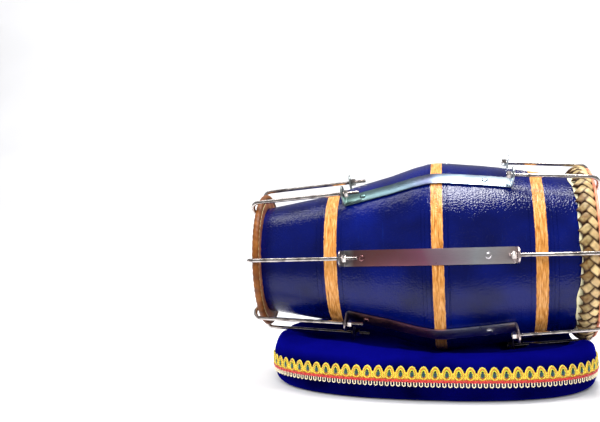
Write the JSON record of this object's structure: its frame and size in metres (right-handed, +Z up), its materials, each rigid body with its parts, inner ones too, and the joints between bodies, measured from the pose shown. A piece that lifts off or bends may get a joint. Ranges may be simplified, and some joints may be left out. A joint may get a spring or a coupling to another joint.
{
  "type": "bolt-tuned barrel drum on a cushion",
  "caption": "Two-headed wooden barrel drum with bolt-tuned heads held by steel straps, hook rods and nuts, lying in an oval velvet cushion with lace trim.",
  "frame": {"origin": "on the cushion's underside, straight below the drum's belly band", "axes": "+X along the drum's axis from the treble head to the bass head, +Z up from the floor"},
  "size_m": [0.4488, 0.2691, 0.2978],
  "materials": {
    "painted_wood": "glossy blue paint with bare wood bands",
    "bright_steel": "polished",
    "nickel_rod": "nickel plated",
    "stitched_hide": "ribbed hide wound over an iron hoop",
    "goat_skin": "scraped raw hide",
    "outer_hide": "matte hide",
    "tuning_paste": "burnished black paste",
    "plaited_leather": "plaited strips",
    "dyed_hide": "pink dyed hide",
    "blue_velvet": "deep pile",
    "lace_trim": "woven lace"
  },
  "bodies": {
    "cushion": {"cushion": "blue_velvet", "cushion_trim": "lace_trim"},
    "drum": {"shell": "painted_wood", "treble_hoop": "stitched_hide", "treble_skin": "goat_skin", "treble_outer_flap": "outer_hide", "treble_tuning_paste": "tuning_paste", "bass_skin": "goat_skin", "bass_braid": "plaited_leather", "bass_outer_flap": "dyed_hide", "bass_tuning_paste": "tuning_paste", "strap_1": "bright_steel", "strap_2": "bright_steel", "strap_3": "bright_steel", "strap_4": "bright_steel", "strap_5": "bright_steel", "strap_6": "bright_steel", "strap_7": "bright_steel", "treble_screw_1": "bright_steel", "treble_screw_2": "bright_steel", "treble_screw_3": "bright_steel", "treble_screw_4": "bright_steel", "treble_screw_5": "bright_steel", "treble_screw_6": "bright_steel", "treble_screw_7": "bright_steel", "bass_screw_1": "bright_steel", "bass_screw_2": "bright_steel", "bass_screw_3": "bright_steel", "bass_screw_4": "bright_steel", "bass_screw_5": "bright_steel", "bass_screw_6": "bright_steel", "bass_screw_7": "bright_steel"},
    "treble_hook_1": {"treble_hook_1": "nickel_rod"},
    "treble_nut_1": {"treble_nut_1": "bright_steel"},
    "treble_hook_2": {"treble_hook_2": "nickel_rod"},
    "treble_nut_2": {"treble_nut_2": "bright_steel"},
    "treble_hook_3": {"treble_hook_3": "nickel_rod"},
    "treble_nut_3": {"treble_nut_3": "bright_steel"},
    "treble_hook_4": {"treble_hook_4": "nickel_rod"},
    "treble_nut_4": {"treble_nut_4": "bright_steel"},
    "treble_hook_5": {"treble_hook_5": "nickel_rod"},
    "treble_nut_5": {"treble_nut_5": "bright_steel"},
    "treble_hook_6": {"treble_hook_6": "nickel_rod"},
    "treble_nut_6": {"treble_nut_6": "bright_steel"},
    "treble_hook_7": {"treble_hook_7": "nickel_rod"},
    "treble_nut_7": {"treble_nut_7": "bright_steel"},
    "bass_hook_1": {"bass_hook_1": "nickel_rod"},
    "bass_nut_1": {"bass_nut_1": "bright_steel"},
    "bass_hook_2": {"bass_hook_2": "nickel_rod"},
    "bass_nut_2": {"bass_nut_2": "bright_steel"},
    "bass_hook_3": {"bass_hook_3": "nickel_rod"},
    "bass_nut_3": {"bass_nut_3": "bright_steel"},
    "bass_hook_4": {"bass_hook_4": "nickel_rod"},
    "bass_nut_4": {"bass_nut_4": "bright_steel"},
    "bass_hook_5": {"bass_hook_5": "nickel_rod"},
    "bass_nut_5": {"bass_nut_5": "bright_steel"},
    "bass_hook_6": {"bass_hook_6": "nickel_rod"},
    "bass_nut_6": {"bass_nut_6": "bright_steel"},
    "bass_hook_7": {"bass_hook_7": "nickel_rod"},
    "bass_nut_7": {"bass_nut_7": "bright_steel"}
  },
  "joints": [
    {"name": "drum_lift", "type": "slide", "parent": "cushion", "child": "drum", "axis": [0, 0, 1], "range_m": [0, 0.25]},
    {"name": "treble_nut_1_turn", "type": "hinge", "parent": "drum", "child": "treble_nut_1", "pos_m": [-0.11687, -0.10728, 0.18017], "axis": [0.9965, -0.0829, 0.0102], "range_deg": [0, 2161]},
    {"name": "treble_hook_1_travel", "type": "slide", "parent": "drum", "child": "treble_hook_1", "axis": [-0.9965, 0.0829, -0.0102], "range_m": [0, 0.0048]},
    {"name": "treble_nut_2_turn", "type": "hinge", "parent": "drum", "child": "treble_nut_2", "pos_m": [-0.11687, -0.05659, 0.25909], "axis": [0.9965, -0.0437, 0.0712], "range_deg": [0, 2161]},
    {"name": "treble_hook_2_travel", "type": "slide", "parent": "drum", "child": "treble_hook_2", "axis": [-0.9965, 0.0437, -0.0712], "range_m": [0, 0.0048]},
    {"name": "treble_nut_3_turn", "type": "hinge", "parent": "drum", "child": "treble_nut_3", "pos_m": [-0.11687, 0.03671, 0.26866], "axis": [0.9965, 0.0284, 0.0786], "range_deg": [0, 2161]},
    {"name": "treble_hook_3_travel", "type": "slide", "parent": "drum", "child": "treble_hook_3", "axis": [-0.9965, -0.0284, -0.0786], "range_m": [0, 0.0048]},
    {"name": "treble_nut_4_turn", "type": "hinge", "parent": "drum", "child": "treble_nut_4", "pos_m": [-0.11687, 0.10237, 0.20168], "axis": [0.9965, 0.0791, 0.0268], "range_deg": [0, 2161]},
    {"name": "treble_hook_4_travel", "type": "slide", "parent": "drum", "child": "treble_hook_4", "axis": [-0.9965, -0.0791, -0.0268], "range_m": [0, 0.0048]},
    {"name": "treble_nut_5_turn", "type": "hinge", "parent": "drum", "child": "treble_nut_5", "pos_m": [-0.11687, 0.09094, 0.10858], "axis": [0.9965, 0.0703, -0.0452], "range_deg": [0, 2161]},
    {"name": "treble_hook_5_travel", "type": "slide", "parent": "drum", "child": "treble_hook_5", "axis": [-0.9965, -0.0703, 0.0452], "range_m": [0, 0.0048]},
    {"name": "treble_nut_6_turn", "type": "hinge", "parent": "drum", "child": "treble_nut_6", "pos_m": [-0.11687, 0.01103, 0.05948], "axis": [0.9965, 0.0085, -0.0831], "range_deg": [0, 2161]},
    {"name": "treble_hook_6_travel", "type": "slide", "parent": "drum", "child": "treble_hook_6", "axis": [-0.9965, -0.0085, 0.0831], "range_m": [0, 0.0048]},
    {"name": "treble_nut_7_turn", "type": "hinge", "parent": "drum", "child": "treble_nut_7", "pos_m": [-0.11687, -0.07719, 0.09134], "axis": [0.9965, -0.0597, -0.0585], "range_deg": [0, 2161]},
    {"name": "treble_hook_7_travel", "type": "slide", "parent": "drum", "child": "treble_hook_7", "axis": [-0.9965, 0.0597, 0.0585], "range_m": [0, 0.0048]},
    {"name": "bass_nut_1_turn", "type": "hinge", "parent": "drum", "child": "bass_nut_1", "pos_m": [0.09086, -0.12729, 0.18263], "axis": [-0.9972, -0.0738, 0.0091], "range_deg": [0, 2161]},
    {"name": "bass_hook_1_travel", "type": "slide", "parent": "drum", "child": "bass_hook_1", "axis": [0.9972, 0.0738, -0.0091], "range_m": [0, 0.0048]},
    {"name": "bass_nut_2_turn", "type": "hinge", "parent": "drum", "child": "bass_nut_2", "pos_m": [0.09086, -0.06714, 0.27626], "axis": [-0.9972, -0.0389, 0.0633], "range_deg": [0, 2161]},
    {"name": "bass_hook_2_travel", "type": "slide", "parent": "drum", "child": "bass_hook_2", "axis": [0.9972, 0.0389, -0.0633], "range_m": [0, 0.0048]},
    {"name": "bass_nut_3_turn", "type": "hinge", "parent": "drum", "child": "bass_nut_3", "pos_m": [0.09086, 0.04356, 0.28762], "axis": [-0.9972, 0.0253, 0.0699], "range_deg": [0, 2161]},
    {"name": "bass_hook_3_travel", "type": "slide", "parent": "drum", "child": "bass_hook_3", "axis": [0.9972, -0.0253, -0.0699], "range_m": [0, 0.0048]},
    {"name": "bass_nut_4_turn", "type": "hinge", "parent": "drum", "child": "bass_nut_4", "pos_m": [0.09086, 0.12147, 0.20815], "axis": [-0.9972, 0.0704, 0.0239], "range_deg": [0, 2161]},
    {"name": "bass_hook_4_travel", "type": "slide", "parent": "drum", "child": "bass_hook_4", "axis": [0.9972, -0.0704, -0.0239], "range_m": [0, 0.0048]},
    {"name": "bass_nut_5_turn", "type": "hinge", "parent": "drum", "child": "bass_nut_5", "pos_m": [0.09086, 0.1079, 0.09769], "axis": [-0.9972, 0.0626, -0.0402], "range_deg": [0, 2161]},
    {"name": "bass_hook_5_travel", "type": "slide", "parent": "drum", "child": "bass_hook_5", "axis": [0.9972, -0.0626, 0.0402], "range_m": [0, 0.0048]},
    {"name": "bass_nut_6_turn", "type": "hinge", "parent": "drum", "child": "bass_nut_6", "pos_m": [0.09086, 0.01309, 0.03942], "axis": [-0.9972, 0.0076, -0.074], "range_deg": [0, 2161]},
    {"name": "bass_hook_6_travel", "type": "slide", "parent": "drum", "child": "bass_hook_6", "axis": [0.9972, -0.0076, 0.074], "range_m": [0, 0.0048]},
    {"name": "bass_nut_7_turn", "type": "hinge", "parent": "drum", "child": "bass_nut_7", "pos_m": [0.09086, -0.09158, 0.07723], "axis": [-0.9972, -0.0531, -0.052], "range_deg": [0, 2161]},
    {"name": "bass_hook_7_travel", "type": "slide", "parent": "drum", "child": "bass_hook_7", "axis": [0.9972, 0.0531, 0.052], "range_m": [0, 0.0048]}
  ],
  "couplings": [
    {"joint": "treble_nut_1_turn", "follows": "treble_hook_1_travel", "rad_per_m": 7854},
    {"joint": "treble_nut_2_turn", "follows": "treble_hook_2_travel", "rad_per_m": 7854},
    {"joint": "treble_nut_3_turn", "follows": "treble_hook_3_travel", "rad_per_m": 7854},
    {"joint": "treble_nut_4_turn", "follows": "treble_hook_4_travel", "rad_per_m": 7854},
    {"joint": "treble_nut_5_turn", "follows": "treble_hook_5_travel", "rad_per_m": 7854},
    {"joint": "treble_nut_6_turn", "follows": "treble_hook_6_travel", "rad_per_m": 7854},
    {"joint": "treble_nut_7_turn", "follows": "treble_hook_7_travel", "rad_per_m": 7854},
    {"joint": "bass_nut_1_turn", "follows": "bass_hook_1_travel", "rad_per_m": 7854},
    {"joint": "bass_nut_2_turn", "follows": "bass_hook_2_travel", "rad_per_m": 7854},
    {"joint": "bass_nut_3_turn", "follows": "bass_hook_3_travel", "rad_per_m": 7854},
    {"joint": "bass_nut_4_turn", "follows": "bass_hook_4_travel", "rad_per_m": 7854},
    {"joint": "bass_nut_5_turn", "follows": "bass_hook_5_travel", "rad_per_m": 7854},
    {"joint": "bass_nut_6_turn", "follows": "bass_hook_6_travel", "rad_per_m": 7854},
    {"joint": "bass_nut_7_turn", "follows": "bass_hook_7_travel", "rad_per_m": 7854}
  ]
}
